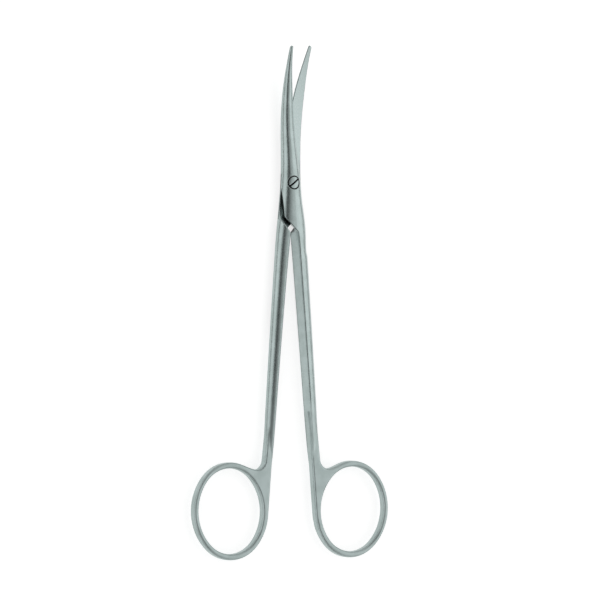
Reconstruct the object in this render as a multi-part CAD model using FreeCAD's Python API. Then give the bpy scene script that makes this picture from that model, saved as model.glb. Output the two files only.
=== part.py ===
import FreeCAD, Part
import math
import os

# Dissecting scissors with curved blades, millimetres.
# +Y runs along the instrument towards the tips, +X to the right of the screw-head side,
# +Z out of the screw-head side. The pivot axis is the Z axis and the underside rests on Z = 0.
# Each half is drawn closed, about the parting plane, and is then turned to its resting angle.

# Opening
REST_ANGLE = 4.5
JOINT_HALF_THICKNESS = 2.70
REST_FLAT_DEPTH = 0.10
PARTING_Z = JOINT_HALF_THICKNESS - REST_FLAT_DEPTH
LAP_GAP = 0.04

# Oval body of the closed blades and joint: distance along Y, half width, half thickness, and
# how much wider it is on the side of the joint plate
TIP_Y = 47.6
BLADE_STATIONS = [
    (TIP_Y + 0.6, 0.56, 0.50, 0.0),
    (43.0, 0.95, 0.84, 0.0),
    (38.4, 1.34, 1.18, 0.0),
    (32.0, 1.88, 1.68, 0.0),
    (24.0, 2.36, 2.08, 0.0),
    (16.0, 2.76, 2.40, 0.0),
    (8.0, 3.22, 2.62, 0.04),
    (0.0, 3.65, JOINT_HALF_THICKNESS, 0.42),
    (-6.0, 3.80, JOINT_HALF_THICKNESS, 1.00),
]

# Heel and shoulder of the joint
INNER_GAP = 0.22
HEEL_SIDE = 4.20
HEEL_ANGLE = math.radians(48.5)
HEEL_END_Y = -17.1
HEEL_ROUNDING = 2.0
HEEL_UNDERCUT = 0.36
WALL_DRAFT = 0.11
WALL_STRAIGHT_SHARE = 1.2
SHOULDER_GAP = 0.04
SHOULDER_ROUNDING = 1.5

# Shanks: distance along Y, change in half width, half thickness
RING_CENTRE_Y = -115.7
WEB_TOP_Y = RING_CENTRE_Y + 35.6
SHANK_END_Y = RING_CENTRE_Y + 17.6
SHANK_START = [
    (-12.0, -0.26, 2.62),
    (-18.0, -0.06, 2.52),
    (-26.0, 0.0, 2.42),
]
SHANK_STATIONS = [
    SHANK_START[-1],
    (-45.0, -0.12, 2.32),
    (-57.0, -0.23, 2.27),
    (-69.0, -0.37, 2.21),
    (WEB_TOP_Y, -0.53, 2.13),
    (WEB_TOP_Y - 6.0, -0.64, 2.05),
    (SHANK_END_Y + 6.0, -0.80, 1.86),
    (SHANK_END_Y + 2.0, -0.98, 1.60),
    (SHANK_END_Y, -1.10, 1.40),
]
PLATE_SWELL = 1.0
FRONT_SHANK = {"width": 4.55, "bow": 0.30, "run_out": 0.35, "ring_out": 0.0}
REAR_SHANK = {"width": 4.20, "bow": 0.60, "run_out": 0.45, "ring_out": 0.15}

# Sweep of the blades
CURVE_START_Y = 13.5
CURVE_RADIUS = 83.0
TIP_ROUNDING = 0.58

# Finger rings, across and along
RING_HOLE = (12.65, 14.86)
RING_WALL = (2.20, 2.10)
RING_OUTER = (RING_HOLE[0] + RING_WALL[0], RING_HOLE[1] + RING_WALL[1])
RING_HOLE_SHIFT = 0.18
RING_LEAN = math.radians(8.2)
RING_THICKNESS = 3.20
RING_ROUNDING = min(0.90, 0.43 * min(RING_WALL))
RING_END_SHARE = 0.90

# Web between shank and ring
WEB_FULL_Y = RING_CENTRE_Y + 20.6
WEB_START_THICKNESS = 1.4
WEB_SIDE_INSET = 0.74
WEB_START_INSET = 0.55
WEB_FILLET = 3.2
WEB_VALLEY_Y = RING_CENTRE_Y + RING_OUTER[1] - 1.9
WEB_VALLEY_SLOPE = math.radians(5.7)
WEB_RISE = 2.6
WEB_CROWN_TURN = math.radians(104.0)

# Pivot screw
HEAD_RADIUS = 2.08
HEAD_CLEARANCE = 0.22
BORE_CHAMFER = 0.12
HEAD_SEAT_Z = JOINT_HALF_THICKNESS - 1.60
PIVOT_RADIUS = 1.30
PIVOT_CLEARANCE = 0.04
THREAD_RADIUS = PIVOT_RADIUS - 0.15
SLOT_WIDTH = 0.50
SLOT_DEPTH = 0.85
SLOT_ANGLE = 37.0

# Pull of a smooth quarter curve towards its corner
QUARTER_PULL = 0.5523

# Size of the shapes that are cut away, well past the body
REACH = 60.0
MARGIN = 10.0


def vec(x, y, z=0.0):
    return FreeCAD.Vector(x, y, z)


def cylinder(radius, low, high):
    return Part.makeCylinder(radius, high - low, vec(0.0, 0.0, low))


def blade_slope(y):
    """Slope of the curved mating surface at a distance along the blade, in radians."""
    return math.asin(max(0.0, y - CURVE_START_Y) / CURVE_RADIUS)


def blade_rise(y):
    """Height of the curved mating surface at a distance along the blade."""
    return CURVE_RADIUS * (1.0 - math.cos(blade_slope(y)))


def quarter(centre, first, second):
    """Smooth quarter curve about a centre, from one arm's end to the other's."""
    curve = Part.BezierCurve()
    curve.setPoles([
        centre + first,
        centre + first + second * QUARTER_PULL,
        centre + second + first * QUARTER_PULL,
        centre + second,
    ])
    return curve.toShape()


def oval_section(y, left, right, half_thickness):
    """Upright oval across the body, square to the curved centre line."""
    slope = blade_slope(y)
    centre = vec(0.0, y, blade_rise(y))
    up = vec(0.0, -math.sin(slope), math.cos(slope)) * half_thickness
    left_arm = vec(-left, 0.0)
    right_arm = vec(right, 0.0)
    return Part.Wire([
        quarter(centre, right_arm, up),
        quarter(centre, up, left_arm),
        quarter(centre, left_arm, -up),
        quarter(centre, -up, right_arm),
    ])


def oval_body(shank, plate_side):
    """Oval of the two closed halves: smooth to below the heel, then straight between sections."""
    stations = list(BLADE_STATIONS)
    for y, narrowing, half_thickness in SHANK_START:
        stations.append((y, shank["width"] + narrowing, half_thickness, PLATE_SWELL))
    blade = []
    for y, half_width, half_thickness, swell in stations:
        widths = [half_width, half_width + swell]
        blade.append(oval_section(y, *widths[::plate_side], half_thickness))
    handle = []
    for y, narrowing, half_thickness in SHANK_STATIONS:
        half_width = shank["width"] + narrowing
        widths = [half_width, half_width + PLATE_SWELL]
        handle.append(oval_section(y, *widths[::plate_side], half_thickness))
    return Part.makeLoft(blade, True, False).fuse(Part.makeLoft(handle, True, True))


def rounded_outline(corners):
    """Closed flat outline through (x, y, rounding) corners."""
    count = len(corners)
    points = [vec(x, y) for x, y, rounding in corners]
    starts = []
    ends = []
    middles = []
    for i in range(count):
        corner = points[i]
        back = (points[i - 1] - corner).normalize()
        ahead = (points[(i + 1) % count] - corner).normalize()
        rounding = corners[i][2]
        half_angle = back.getAngle(ahead) / 2
        reach = rounding / math.tan(half_angle)
        inward = (back + ahead).normalize()
        centre = corner + inward * (rounding / math.sin(half_angle))
        starts.append(corner + back * reach)
        ends.append(corner + ahead * reach)
        middles.append(centre - inward * rounding)
    edges = []
    for i in range(count):
        if corners[i][2] > 0:
            edges.append(Part.Arc(starts[i], middles[i], ends[i]).toShape())
        edges.append(Part.makeLine(ends[i], starts[(i + 1) % count]))
    return Part.Wire(edges)


def prism(outline, low, high):
    """Upright prism over a flat outline."""
    face = Part.Face(outline)
    face.translate(vec(0.0, 0.0, low))
    return face.extrude(vec(0.0, 0.0, high - low))


def heel_rise(x):
    """Height of the slanted heel edge above its lower end, at a place across the joint."""
    return (INNER_GAP - x) * math.tan(HEEL_ANGLE)


def heel_side():
    """Space beyond the slanted heel edge of the joint plate, undercut towards the lap."""
    outline = rounded_outline([
        (-HEEL_SIDE, REACH, 0.0),
        (-HEEL_SIDE, HEEL_END_Y + heel_rise(-HEEL_SIDE), HEEL_ROUNDING),
        (MARGIN, HEEL_END_Y + heel_rise(MARGIN), 0.0),
        (MARGIN, SHANK_END_Y - REACH, 0.0),
        (-MARGIN, SHANK_END_Y - REACH, 0.0),
        (-MARGIN, REACH, 0.0),
    ])
    face = Part.Face(outline)
    face.translate(vec(0.0, HEEL_UNDERCUT * (JOINT_HALF_THICKNESS + MARGIN), -MARGIN))
    return face.extrude(vec(0.0, -HEEL_UNDERCUT * 2 * MARGIN, 2 * MARGIN))


def wall_side(shank):
    """Space left of the inner wall, which bows away from the other shank and leans to the right."""
    top = vec(INNER_GAP, REACH)
    straight_end = WALL_STRAIGHT_SHARE * HEEL_UNDERCUT * JOINT_HALF_THICKNESS
    start = vec(INNER_GAP, HEEL_END_Y + straight_end)
    end = vec(INNER_GAP + shank["run_out"], SHANK_END_Y - MARGIN)
    middle = vec(INNER_GAP + shank["bow"], (start.y + end.y) / 2)
    outline = Part.Wire([
        Part.makeLine(top, start),
        Part.Arc(start, middle, end).toShape(),
        Part.makeLine(end, vec(-MARGIN, end.y)),
        Part.makeLine(vec(-MARGIN, end.y), vec(-MARGIN, REACH)),
        Part.makeLine(vec(-MARGIN, REACH), top),
    ])
    face = Part.Face(outline)
    face.translate(vec(-WALL_DRAFT * MARGIN, 0.0, -MARGIN))
    return face.extrude(vec(WALL_DRAFT * 2 * MARGIN, 0.0, 2 * MARGIN))


def lap_void():
    """Space taken by the other half's plate, below the mating surface of the upper half."""
    shoulder_y = HEEL_END_Y - SHOULDER_GAP / math.cos(HEEL_ANGLE)
    wall_foot = INNER_GAP - WALL_DRAFT * JOINT_HALF_THICKNESS
    outline = rounded_outline([
        (-MARGIN, 0.0, 0.0),
        (-MARGIN, HEEL_END_Y - MARGIN, 0.0),
        (wall_foot, HEEL_END_Y - MARGIN, 0.0),
        (wall_foot, shoulder_y + heel_rise(2 * INNER_GAP - wall_foot), SHOULDER_ROUNDING),
        (MARGIN, shoulder_y + heel_rise(2 * INNER_GAP - MARGIN), 0.0),
        (MARGIN, 0.0, 0.0),
    ])
    return prism(outline, -MARGIN, LAP_GAP / 2)


def swept_void(side):
    """Space on one side of the mating surface, turned about the pivot so that the blades pass."""
    base = side * LAP_GAP / 2
    limit = -MARGIN if side > 0 else REACH
    middle_y = (CURVE_START_Y + REACH) / 2
    start = vec(CURVE_START_Y, 0.0, base)
    middle = vec(middle_y, 0.0, base + blade_rise(middle_y))
    end = vec(REACH, 0.0, base + blade_rise(REACH))
    edges = [
        Part.makeLine(vec(0.0, 0.0, base), start),
        Part.Arc(start, middle, end).toShape(),
        Part.makeLine(end, vec(REACH, 0.0, limit)),
        Part.makeLine(vec(REACH, 0.0, limit), vec(0.0, 0.0, limit)),
        Part.makeLine(vec(0.0, 0.0, limit), vec(0.0, 0.0, base)),
    ]
    face = Part.Face(Part.Wire(edges))
    return face.revolve(vec(0.0, 0.0), vec(0.0, 0.0, 1.0), 180.0)


def tip_trim():
    """Material beyond the rounded tip, square to the blade there."""
    centre_y = TIP_Y - TIP_ROUNDING
    block = Part.makeBox(MARGIN, MARGIN, MARGIN, vec(-MARGIN / 2, 0.0, -MARGIN / 2))
    trim = block.cut(cylinder(TIP_ROUNDING, -MARGIN, MARGIN))
    trim.rotate(vec(0.0, 0.0), vec(1.0, 0.0), math.degrees(blade_slope(centre_y)))
    trim.translate(vec(0.0, centre_y, blade_rise(centre_y)))
    return trim


def side_radius(half_axes, end_radius):
    """Radius of an oval's side arcs, which meet its end arcs smoothly."""
    across, along = half_axes
    return (across ** 2 + (along - end_radius) ** 2 - end_radius ** 2) / (2 * (across - end_radius))


def leaning(point, centre):
    """A point of an upright oval, once the oval leans outwards at the top."""
    turned_point = FreeCAD.Rotation(vec(0.0, 0.0, 1.0), -math.degrees(RING_LEAN)).multVec(point)
    return centre + turned_point


def oval_arcs(half_axes, centre, start=None, end=None):
    """Four-arc oval, run anticlockwise from a turn on its left side to one on its top."""
    end_radius = RING_END_SHARE * half_axes[0]
    radius = side_radius(half_axes, end_radius)
    end_y = half_axes[1] - end_radius
    side_x = radius - half_axes[0]
    joint = math.atan2(end_y, side_x)
    if start is None:
        start = math.pi - joint
        end = 3 * math.pi - joint
    runs = [
        (vec(side_x, 0.0), radius, start, math.pi + joint),
        (vec(0.0, -end_y), end_radius, math.pi + joint, 2 * math.pi - joint),
        (vec(-side_x, 0.0), radius, 2 * math.pi - joint, 2 * math.pi + joint),
        (vec(0.0, end_y), end_radius, 2 * math.pi + joint, end),
    ]
    arcs = []
    for middle, run_radius, first, last in runs:
        points = []
        for angle in (first, (first + last) / 2, last):
            point = middle + vec(math.cos(angle), math.sin(angle)) * run_radius
            points.append(leaning(point, centre))
        arcs.append(Part.Arc(*points))
    return arcs


def turned(shape):
    """The same shape turned half a turn about the long axis."""
    copy = shape.copy()
    copy.rotate(vec(0.0, 0.0), vec(0.0, 1.0, 0.0), 180.0)
    return copy


def web_taper():
    """Space above the web where it rises out of the oval shank."""
    full = RING_THICKNESS / 2
    low = WEB_START_THICKNESS / 2
    start = vec(-REACH, WEB_FULL_Y, full)
    middle = vec(-REACH, (WEB_TOP_Y + WEB_FULL_Y) / 2, full - (full - low) / 4)
    end = vec(-REACH, WEB_TOP_Y, low)
    top = vec(-REACH, WEB_TOP_Y, MARGIN)
    edges = [
        Part.Arc(start, middle, end).toShape(),
        Part.makeLine(end, top),
        Part.makeLine(top, vec(-REACH, WEB_FULL_Y, MARGIN)),
        Part.makeLine(vec(-REACH, WEB_FULL_Y, MARGIN), start),
    ]
    return Part.Face(Part.Wire(edges)).extrude(vec(2 * REACH, 0.0))


def ring_and_web(shank):
    """Finger ring with the flat web that joins it to the shank, edges rounded."""
    radius = side_radius(RING_OUTER, RING_END_SHARE * RING_OUTER[0])
    overhang = radius - (radius - RING_OUTER[0]) * math.cos(RING_LEAN)
    inner_x = INNER_GAP + shank["ring_out"]
    centre = vec(inner_x + overhang, RING_CENTRE_Y)
    outer = oval_arcs(RING_OUTER, centre, math.pi + RING_LEAN, 2 * math.pi + WEB_CROWN_TURN)
    flank = outer[0].StartPoint
    crown = outer[-1].EndPoint
    crown_direction = outer[-1].tangent(outer[-1].LastParameter)[0]
    valley_direction = vec(math.cos(WEB_VALLEY_SLOPE), math.sin(WEB_VALLEY_SLOPE))

    side_x = shank["width"] - WEB_SIDE_INSET
    top = vec(side_x - WEB_START_INSET, WEB_TOP_Y)
    valley = vec(side_x + WEB_FILLET, WEB_VALLEY_Y)
    shoulder = vec(side_x, WEB_VALLEY_Y + WEB_FILLET)
    fillet = Part.BezierCurve()
    fillet.setPoles([
        shoulder,
        shoulder + (shoulder - top).normalize() * (WEB_FILLET / 2),
        valley - valley_direction * (WEB_FILLET / 2),
        valley,
    ])
    rise = Part.BezierCurve()
    rise.setPoles([
        valley,
        valley + valley_direction * WEB_RISE,
        crown + crown_direction * WEB_RISE,
        crown,
    ])
    outline = Part.Wire(Part.__sortEdges__([
        Part.makeLine(vec(inner_x, WEB_TOP_Y), top),
        Part.makeLine(top, shoulder),
        fillet.toShape(),
        rise.toShape(),
        *[arc.toShape() for arc in outer],
        Part.makeLine(flank, vec(inner_x, WEB_TOP_Y)),
    ]))
    inner = oval_arcs(RING_HOLE, centre + vec(RING_HOLE_SHIFT, 0.0))
    hole = Part.Wire([arc.toShape() for arc in inner])
    face = Part.Face([outline, hole])
    face.translate(vec(0.0, 0.0, -RING_THICKNESS / 2))
    plate = face.extrude(vec(0.0, 0.0, RING_THICKNESS))
    rims = []
    for edge in plate.Edges:
        box = edge.BoundBox
        if box.ZLength < RING_THICKNESS / 2 and box.YMin < WEB_TOP_Y - WEB_FILLET:
            rims.append(edge)
    plate = plate.makeFillet(RING_ROUNDING, rims)
    taper = web_taper()
    return plate.cut([taper, turned(taper)])


def half(shank, upper):
    """One forged half in its closed place: blade, joint plate, shank and finger ring."""
    side = 1 if upper else -1
    voids = [heel_side().common(wall_side(shank)), lap_void()]
    ring = ring_and_web(shank)
    if not upper:
        voids = [turned(void) for void in voids]
        ring = turned(ring)
    body = oval_body(shank, -side).cut(voids + [swept_void(side), tip_trim()])
    return body.fuse(ring)


def front_half():
    """Upper half: carries the counterbore that the screw head sits in."""
    bore_radius = HEAD_RADIUS + HEAD_CLEARANCE
    counterbore = cylinder(bore_radius, HEAD_SEAT_Z, MARGIN)
    pivot_hole = cylinder(PIVOT_RADIUS + PIVOT_CLEARANCE, -MARGIN, MARGIN)
    body = half(FRONT_SHANK, True).cut([counterbore, pivot_hole])
    rim = []
    for edge in body.Edges:
        middle = edge.valueAt((edge.FirstParameter + edge.LastParameter) / 2)
        on_bore = abs(math.hypot(middle.x, middle.y) - bore_radius) < PIVOT_CLEARANCE
        if on_bore and edge.BoundBox.ZMin > (HEAD_SEAT_Z + JOINT_HALF_THICKNESS) / 2:
            rim.append(edge)
    return body.makeChamfer(BORE_CHAMFER, rim)


def rear_half():
    """Lower half: threaded for the screw and ground flat underneath, where it rests."""
    body = half(REAR_SHANK, False)
    thread_hole = cylinder(THREAD_RADIUS, -MARGIN, MARGIN)
    ground = Part.makeBox(REACH, REACH, MARGIN, vec(-REACH / 2, -REACH / 2, -MARGIN - PARTING_Z))
    return body.cut([thread_hole, ground])


def pivot_screw():
    """Slotted screw, its head ground flush with the rounded face of the joint."""
    head = cylinder(HEAD_RADIUS, HEAD_SEAT_Z + LAP_GAP / 2, JOINT_HALF_THICKNESS)
    neck = cylinder(PIVOT_RADIUS, -LAP_GAP / 2, HEAD_SEAT_Z + LAP_GAP)
    thread = cylinder(THREAD_RADIUS, -PARTING_Z, 0.0)
    screw = head.fuse([neck, thread]).common(oval_body(FRONT_SHANK, -1))
    slot = Part.makeBox(MARGIN, SLOT_WIDTH, MARGIN)
    slot.translate(vec(-MARGIN / 2, -SLOT_WIDTH / 2, JOINT_HALF_THICKNESS - SLOT_DEPTH))
    slot.rotate(vec(0.0, 0.0), vec(0.0, 0.0, 1.0), SLOT_ANGLE + REST_ANGLE)
    return screw.cut(slot)


def place(shape, angle):
    """Turn a closed piece to its resting angle and lift it onto the ground plane."""
    placed = shape.removeSplitter()
    placed.rotate(vec(0.0, 0.0), vec(0.0, 0.0, 1.0), angle)
    placed.translate(vec(0.0, 0.0, PARTING_Z))
    return placed


os.makedirs("parts", exist_ok=True)
pieces = {
    "front_half": place(front_half(), REST_ANGLE),
    "rear_half": place(rear_half(), -REST_ANGLE),
    "pivot_screw": place(pivot_screw(), -REST_ANGLE),
}
for name, shape in pieces.items():
    shape.exportStep("parts/" + name + ".step")
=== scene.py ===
import bpy
import math
from mathutils import Matrix, Vector

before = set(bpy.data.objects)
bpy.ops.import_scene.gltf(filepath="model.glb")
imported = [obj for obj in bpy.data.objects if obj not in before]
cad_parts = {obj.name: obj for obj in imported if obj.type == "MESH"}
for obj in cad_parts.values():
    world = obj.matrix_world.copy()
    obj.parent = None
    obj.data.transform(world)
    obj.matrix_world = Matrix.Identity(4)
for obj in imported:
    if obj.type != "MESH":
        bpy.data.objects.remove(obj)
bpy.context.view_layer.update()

# Camera: where it looks, how far it stands, and how far it leans to the left of straight down
VIEW_POINT = Vector((0.0, -0.0400, 0.0026))
VIEW_DISTANCE = 1.815
VIEW_LEAN = 30.0
VIEW_TURN = 0.30
VIEW_SHIFT = (0.00331, -0.00091)
VIEW_WIDTH = 0.2092
SENSOR_WIDTH = 36.0
CLIP_RANGE = (0.1, 20.0)

# Room: brightness from the left horizon (-1) to the right one (1), with a dark strip between them
ROOM_DARK_LEAN = 15.0
ROOM_LEVELS = [
    (-1.00, 0.92),
    (-0.60, 1.10),
    (-0.36, 1.04),
    (-0.14, 0.26),
    (-0.02, 0.00),
    (0.12, 0.11),
    (0.40, 0.58),
    (0.70, 0.96),
    (0.92, 1.16),
    (1.00, 1.16),
]
ROOM_STRENGTH = 1.32

# Room: darker towards the horizon and on the ring side, with an even level at both ends
HORIZON_LEVEL = 0.24
HORIZON_HEIGHT = (0.05, 0.36)
RING_SIDE_GAIN = 0.90
RING_SIDE_REACH = (-0.7, 0.0)
ENDS_LEVEL = 0.80
ENDS_REACH = (0.60, 0.92)

# Floor: what the camera and reflections see is part glow and part shaded paper
FLOOR_SIZE = 3.0
FLOOR_COLOUR = (0.93, 0.93, 0.93)
FLOOR_GLOW = 0.72
FLOOR_SHADED = 0.50

# Steel: linear colours, two that mix in faint clouds and one for painted shade and painted dark
# reflection lines
STEEL_LIGHT = (0.432, 0.505, 0.497)
STEEL_DEEP = (0.387, 0.457, 0.447)
STEEL_PAINTED_SHADE = (0.006, 0.010, 0.009)
CLOUD_SCALE = 220.0
CLOUD_DETAIL = 3.0
CLOUD_ROUGHNESS = 0.5
CLOUD_RANGE = (0.35, 0.65)

# Grain: fine across the instrument and long along it, and duller towards the rings
GRAIN_SCALE = (9000.0, 450.0, 9000.0)
GRAIN_DETAIL = 3.0
GRAIN_ROUGHNESS = 0.6
GRAIN_RANGE = (0.3, 0.7)
GRAIN_DEPTH = 0.000004
GRAIN_STRENGTH = 0.6
STEEL_ROUGHNESS = (0.21, 0.29)
RING_DULLNESS = 0.12
DULL_Y = (-0.106, -0.055)

# Edges: how far they are softened, on the blades, the shanks and the rings
EDGE_RADIUS_BLADE = 0.00045
EDGE_RADIUS_SHANK = 0.00100
EDGE_RADIUS_RING = 0.00012
EDGE_SHANK_Y = (-0.022, -0.016)
EDGE_RING_Y = (-0.096, -0.090)
SOFT_SAMPLES = 8

# Edges: painted dark reflection line where the softened normal turns left, ahead of the webs
EDGE_TURN = (0.04, 0.40)
EDGE_PAINTED_DARKNESS = 0.85
EDGE_LINE_Y = (-0.079, -0.074)

# Recesses: painted shade where little of the surroundings is open, near the joint
RECESS_REACH = 0.0035
RECESS_SHADE = (0.30, 0.58)
RECESS_Y = (-0.060, -0.045)

# Joint: half the opening at rest, and the painted shade on the upper part of each plate's side wall
REST_ANGLE = 4.5
PLATE_WALL_FACING = (0.95, 0.98)
PLATE_WALL_Y = (-0.0190, 0.0030)
PLATE_WALL_SLOPE_Y = (-0.0113, -0.0043)
PLATE_WALL_LOW_Z = (0.0033, 0.0020)

# Rear blade: the brighter ground flat on its top, told by its normal
GROUND_GAIN = 1.22
BLADE_FLAT_START = (0.004, 0.010)
BLADE_FLAT_TILT = (0.03, 0.06)
BLADE_FLAT_UPWARD = 0.5

# Screw: head and counterbore radii, and the height of the slot's floor and of the head's rim, which
# bound the painted shade round and in the screw
HEAD_RADIUS = 0.00208
BORE_RADIUS = 0.00230
BORE_RIM = 0.00013
HEAD_RIM = 0.00009
SLOT_WALL_UPWARD = (0.5, 0.7)
SLOT_FLOOR_Z = 0.00450
HEAD_LOW_Z = 0.00480


def view_axes():
    """Right, up and back directions of the camera."""
    lean = math.radians(VIEW_LEAN)
    turn = math.radians(VIEW_TURN)
    right = Vector((math.cos(lean), 0.0, math.sin(lean)))
    back = Vector((
        -math.sin(lean) * math.cos(turn),
        -math.sin(turn),
        math.cos(lean) * math.cos(turn),
    ))
    return right, back.cross(right), back


def make_camera():
    """Camera at the photograph's angle and framing."""
    right, up, back = view_axes()
    data = bpy.data.cameras.new("camera")
    data.sensor_width = SENSOR_WIDTH
    data.lens = SENSOR_WIDTH * VIEW_DISTANCE / VIEW_WIDTH
    data.clip_start, data.clip_end = CLIP_RANGE
    camera = bpy.data.objects.new("camera", data)
    bpy.context.scene.collection.objects.link(camera)
    place = VIEW_POINT + right * VIEW_SHIFT[0] + up * VIEW_SHIFT[1] + back * VIEW_DISTANCE
    turn = Matrix((right, up, back)).transposed()
    camera.matrix_world = Matrix.Translation(place) @ turn.to_4x4()
    bpy.context.scene.camera = camera


class Nodes:
    """Short way to add and join shader nodes."""

    def __init__(self, tree):
        self.tree = tree
        tree.nodes.clear()

    def add(self, kind, inputs=None, **settings):
        node = self.tree.nodes.new(kind)
        for name, value in settings.items():
            setattr(node, name, value)
        for key, value in (inputs or {}).items():
            socket = node.inputs[key]
            if isinstance(value, bpy.types.NodeSocket):
                self.tree.links.new(value, socket)
            else:
                socket.default_value = value
        return node

    def math(self, operation, first, second=0.0, clamp=False):
        node = self.add("ShaderNodeMath", {0: first, 1: second}, operation=operation, use_clamp=clamp)
        return node.outputs[0]

    def mapped(self, value, low, high, to_low, to_high, smooth=True):
        node = self.add(
            "ShaderNodeMapRange",
            {"Value": value, "From Min": low, "From Max": high, "To Min": to_low, "To Max": to_high},
            interpolation_type="SMOOTHSTEP" if smooth else "LINEAR",
        )
        return node.outputs[0]

    def levels(self, value, stops):
        """Smooth grey ramp through (place, height) stops."""
        highest = max(height for place, height in stops)
        ramp = self.add("ShaderNodeValToRGB", {0: value})
        ramp.color_ramp.interpolation = "EASE"
        elements = ramp.color_ramp.elements
        while len(elements) < len(stops):
            elements.new(0.5)
        for element, (place, height) in zip(elements, stops):
            element.position = place
            element.color = (*[height / highest] * 3, 1.0)
        return self.math("MULTIPLY", ramp.outputs[0], highest)

    def mixed(self, amount, first, second):
        node = self.add("ShaderNodeMix", data_type="RGBA")
        self.tree.links.new(amount, node.inputs[0])
        for socket, value in ((node.inputs[6], first), (node.inputs[7], second)):
            if isinstance(value, bpy.types.NodeSocket):
                self.tree.links.new(value, socket)
            else:
                socket.default_value = (*value, 1.0)
        return node.outputs[2]


def make_room():
    """World: white to the camera, elsewhere bright sides and a dark strip overhead."""
    world = bpy.data.worlds.new("room")
    bpy.context.scene.world = world
    world.use_nodes = True
    nodes = Nodes(world.node_tree)
    lean = math.radians(ROOM_DARK_LEAN)
    across = Vector((math.cos(lean), 0.0, math.sin(lean)))
    direction = nodes.add("ShaderNodeTexCoord").outputs["Generated"]
    aside = nodes.add("ShaderNodeVectorMath", {0: direction, 1: across}, operation="DOT_PRODUCT")
    aside = nodes.mapped(aside.outputs["Value"], -1.0, 1.0, 0.0, 1.0, smooth=False)
    level = nodes.levels(aside, [((place + 1) / 2, height) for place, height in ROOM_LEVELS])
    parts = nodes.add("ShaderNodeSeparateXYZ", {0: direction})
    low = nodes.mapped(parts.outputs["Z"], *HORIZON_HEIGHT, HORIZON_LEVEL, 1.0)
    end = nodes.mapped(nodes.math("ABSOLUTE", parts.outputs["Y"]), *ENDS_REACH, 0.0, 1.0)
    level = nodes.mapped(end, 0.0, 1.0, level, ENDS_LEVEL, smooth=False)
    ring_side = nodes.mapped(parts.outputs["Y"], *RING_SIDE_REACH, RING_SIDE_GAIN, 1.0)
    level = nodes.math("MULTIPLY", nodes.math("MULTIPLY", level, low), ring_side)
    level = nodes.math("MULTIPLY", level, ROOM_STRENGTH)
    seen = nodes.add("ShaderNodeLightPath").outputs["Is Camera Ray"]
    level = nodes.mapped(seen, 0.0, 1.0, level, 1.0, smooth=False)
    background = nodes.add("ShaderNodeBackground", {"Strength": level})
    output = nodes.add("ShaderNodeOutputWorld")
    world.node_tree.links.new(background.outputs[0], output.inputs[0])


def make_floor():
    """White paper that keeps the object's shadow."""
    mesh = bpy.data.meshes.new("floor")
    half = FLOOR_SIZE / 2
    corners = [(-half, -half, 0.0), (half, -half, 0.0), (half, half, 0.0), (-half, half, 0.0)]
    mesh.from_pydata(corners, [], [(0, 1, 2, 3)])
    floor = bpy.data.objects.new("floor", mesh)
    bpy.context.scene.collection.objects.link(floor)
    material = bpy.data.materials.new("floor_paper")
    material.use_nodes = True
    nodes = Nodes(material.node_tree)
    paper = nodes.add("ShaderNodeBsdfDiffuse", {"Color": (*FLOOR_COLOUR, 1.0)})
    shaded = nodes.add("ShaderNodeBsdfDiffuse", {"Color": (*[FLOOR_SHADED] * 3, 1.0)})
    glow = nodes.add("ShaderNodeEmission", {"Strength": FLOOR_GLOW})
    path = nodes.add("ShaderNodeLightPath")
    seen = nodes.math("ADD", path.outputs["Is Camera Ray"], path.outputs["Is Glossy Ray"])
    seen = nodes.math("ADD", seen, path.outputs["Is Transmission Ray"], clamp=True)
    bright = nodes.add("ShaderNodeAddShader", {0: shaded.outputs[0], 1: glow.outputs[0]})
    shader = nodes.add("ShaderNodeMixShader", {0: seen, 1: paper.outputs[0], 2: bright.outputs[0]})
    output = nodes.add("ShaderNodeOutputMaterial")
    material.node_tree.links.new(shader.outputs[0], output.inputs[0])
    mesh.materials.append(material)


def plate_wall_shade(nodes, place, normal, side):
    """Mask of painted shade on the upper side wall of a joint plate, on the left (-1) or the right
    (1).
    """
    turn = math.radians(side * REST_ANGLE)
    outward = Vector((side * math.cos(turn), -side * math.sin(turn), 0.0))
    facing = nodes.add("ShaderNodeVectorMath", {0: normal, 1: outward}, operation="DOT_PRODUCT")
    facing = nodes.mapped(facing.outputs["Value"], *PLATE_WALL_FACING, 0.0, 1.0)
    parts = nodes.add("ShaderNodeSeparateXYZ", {0: place})
    above = nodes.math("GREATER_THAN", parts.outputs["Y"], PLATE_WALL_Y[0])
    below = nodes.math("LESS_THAN", parts.outputs["Y"], PLATE_WALL_Y[1])
    beside = nodes.math("GREATER_THAN", nodes.math("MULTIPLY", parts.outputs["X"], side), 0.0)
    low = nodes.mapped(parts.outputs["Y"], *PLATE_WALL_SLOPE_Y, *PLATE_WALL_LOW_Z, smooth=False)
    high = nodes.math("GREATER_THAN", parts.outputs["Z"], low)
    mask = nodes.math("MULTIPLY", nodes.math("MULTIPLY", facing, above), high)
    return nodes.math("MULTIPLY", nodes.math("MULTIPLY", mask, below), beside)


def blade_flat(nodes, place, normal):
    """Mask of the ground flat on top of the rear blade."""
    parts = nodes.add("ShaderNodeSeparateXYZ", {0: normal})
    tilt = nodes.math("ABSOLUTE", parts.outputs["X"])
    flat = nodes.mapped(tilt, *BLADE_FLAT_TILT, 1.0, 0.0)
    upward = nodes.math("GREATER_THAN", parts.outputs["Z"], BLADE_FLAT_UPWARD)
    along = nodes.add("ShaderNodeSeparateXYZ", {0: place}).outputs["Y"]
    ahead = nodes.mapped(along, *BLADE_FLAT_START, 0.0, 1.0)
    return nodes.math("MULTIPLY", nodes.math("MULTIPLY", flat, upward), ahead)


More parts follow.
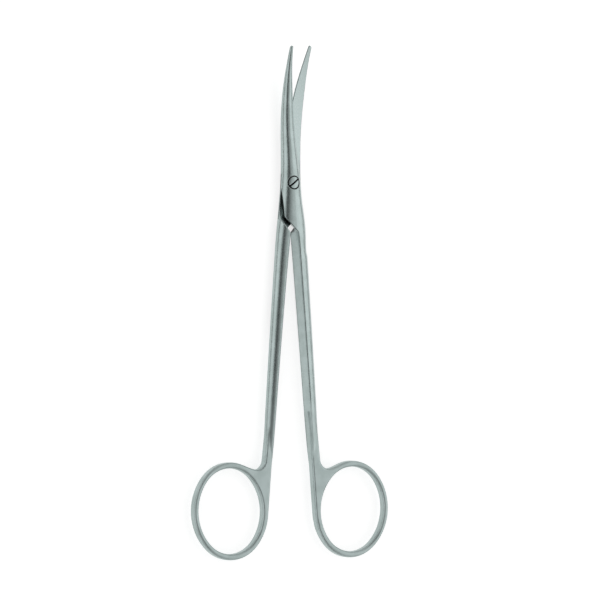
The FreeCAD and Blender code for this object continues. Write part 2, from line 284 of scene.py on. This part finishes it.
def screw_shade_mask(nodes, place, normal, screw_part):
    """Mask of the painted shade round the screw, on the rim of its "bore" or on its "head" and in the
    head's slot.
    """
    parts = nodes.add("ShaderNodeSeparateXYZ", {0: place})
    flat = nodes.add("ShaderNodeCombineXYZ", {0: parts.outputs["X"], 1: parts.outputs["Y"]})
    radius = nodes.add("ShaderNodeVectorMath", {0: flat.outputs[0]}, operation="LENGTH")
    radius = radius.outputs["Value"]
    if screw_part == "bore":
        return nodes.math("LESS_THAN", radius, BORE_RADIUS + BORE_RIM)
    rim = nodes.math("GREATER_THAN", radius, HEAD_RADIUS - HEAD_RIM)
    upward = nodes.add("ShaderNodeSeparateXYZ", {0: normal}).outputs["Z"]
    wall = nodes.mapped(upward, *SLOT_WALL_UPWARD, 1.0, 0.0)
    floor = nodes.mapped(parts.outputs["Z"], SLOT_FLOOR_Z, HEAD_LOW_Z, 1.0, 0.0)
    return nodes.math("MAXIMUM", nodes.math("MAXIMUM", rim, wall), floor)


def soft_edges(nodes, y):
    """Normal with softened edges, and the mask of the painted dark reflection line on those that turn
    left.
    """
    radius = nodes.mapped(y, *EDGE_SHANK_Y, EDGE_RADIUS_SHANK, EDGE_RADIUS_BLADE)
    radius = nodes.mapped(y, *EDGE_RING_Y, EDGE_RADIUS_RING, radius)
    edge = nodes.add("ShaderNodeBevel", {"Radius": radius}, samples=SOFT_SAMPLES).outputs[0]
    plain = nodes.add("ShaderNodeNewGeometry").outputs["Normal"]
    turn = nodes.add("ShaderNodeVectorMath", {0: plain, 1: edge}, operation="SUBTRACT")
    turn = nodes.add(
        "ShaderNodeVectorTransform",
        {"Vector": turn.outputs[0]},
        vector_type="VECTOR",
        convert_from="WORLD",
        convert_to="OBJECT",
    )
    turn = nodes.add("ShaderNodeSeparateXYZ", {0: turn.outputs[0]}).outputs["X"]
    # Painted dark reflection: edges whose softened normal turns left get a dark line in the colour
    darkness = nodes.mapped(y, *EDGE_LINE_Y, 0.0, EDGE_PAINTED_DARKNESS)
    return edge, nodes.mapped(turn, *EDGE_TURN, 0.0, darkness)


def recess_shade(nodes, y):
    """Mask of painted shade in the deep places at the joint, where little of the surroundings is
    open.
    """
    around = nodes.add(
        "ShaderNodeAmbientOcclusion", {"Distance": RECESS_REACH}, samples=SOFT_SAMPLES
    )
    deep = nodes.mapped(around.outputs["AO"], *RECESS_SHADE, 1.0, 0.0)
    return nodes.math("MULTIPLY", deep, nodes.mapped(y, *RECESS_Y, 0.0, 1.0))


def steel(name, wall_side=None, screw_part=None, has_blade_flat=False):
    """Satin forged steel: long fine grain, faint cloudiness, softened edges, and painted shade in the
    deep places at the joint, on the plate walls, round the screw and along edges that turn left.
    """
    material = bpy.data.materials.new(name)
    material.use_nodes = True
    nodes = Nodes(material.node_tree)
    coordinates = nodes.add("ShaderNodeTexCoord")
    place = coordinates.outputs["Object"]
    normal = coordinates.outputs["Normal"]
    along = nodes.add("ShaderNodeMapping", {"Vector": place, "Scale": GRAIN_SCALE})
    grain = nodes.add(
        "ShaderNodeTexNoise",
        {
            "Vector": along.outputs[0],
            "Scale": 1.0,
            "Detail": GRAIN_DETAIL,
            "Roughness": GRAIN_ROUGHNESS,
        },
    ).outputs[0]
    cloud = nodes.add(
        "ShaderNodeTexNoise",
        {
            "Vector": place,
            "Scale": CLOUD_SCALE,
            "Detail": CLOUD_DETAIL,
            "Roughness": CLOUD_ROUGHNESS,
        },
    ).outputs[0]
    y = nodes.add("ShaderNodeSeparateXYZ", {0: place}).outputs["Y"]
    roughness = nodes.mapped(grain, *GRAIN_RANGE, *STEEL_ROUGHNESS, smooth=False)
    dull = nodes.mapped(y, *DULL_Y, RING_DULLNESS, 0.0)
    roughness = nodes.math("ADD", roughness, dull)
    tone = nodes.mapped(cloud, *CLOUD_RANGE, 0.0, 1.0)
    colour = nodes.mixed(tone, STEEL_DEEP, STEEL_LIGHT)
    if has_blade_flat:
        ground = tuple(GROUND_GAIN * part for part in STEEL_LIGHT)
        colour = nodes.mixed(blade_flat(nodes, place, normal), colour, ground)

    edge, line = soft_edges(nodes, y)
    # Painted shade: the deep places at the joint, the plate walls, the screw's surroundings and the
    # painted dark reflection lines on edges darken the colour towards near black
    shade = nodes.math("MAXIMUM", recess_shade(nodes, y), line)
    if wall_side:
        shade = nodes.math("MAXIMUM", shade, plate_wall_shade(nodes, place, normal, wall_side))
    if screw_part:
        screw_shade = screw_shade_mask(nodes, place, normal, screw_part)
        shade = nodes.math("MAXIMUM", shade, screw_shade)
    colour = nodes.mixed(shade, colour, STEEL_PAINTED_SHADE)

    bump = nodes.add(
        "ShaderNodeBump",
        {"Height": grain, "Strength": GRAIN_STRENGTH, "Distance": GRAIN_DEPTH, "Normal": edge},
    )
    shader = nodes.add(
        "ShaderNodeBsdfPrincipled",
        {"Base Color": colour, "Metallic": 1.0, "Roughness": roughness, "Normal": bump.outputs[0]},
    )
    output = nodes.add("ShaderNodeOutputMaterial")
    material.node_tree.links.new(shader.outputs[0], output.inputs[0])
    return material


def dress(node, material):
    """Give a node its one material."""
    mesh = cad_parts[node].data
    mesh.materials.clear()
    mesh.materials.append(material)


make_camera()
make_room()
make_floor()
dress("front_half", steel("front_steel", wall_side=-1, screw_part="bore"))
dress("rear_half", steel("rear_steel", wall_side=1, has_blade_flat=True))
dress("pivot_screw", steel("screw_steel", screw_part="head"))

bpy.context.scene.view_settings.view_transform = "Standard"
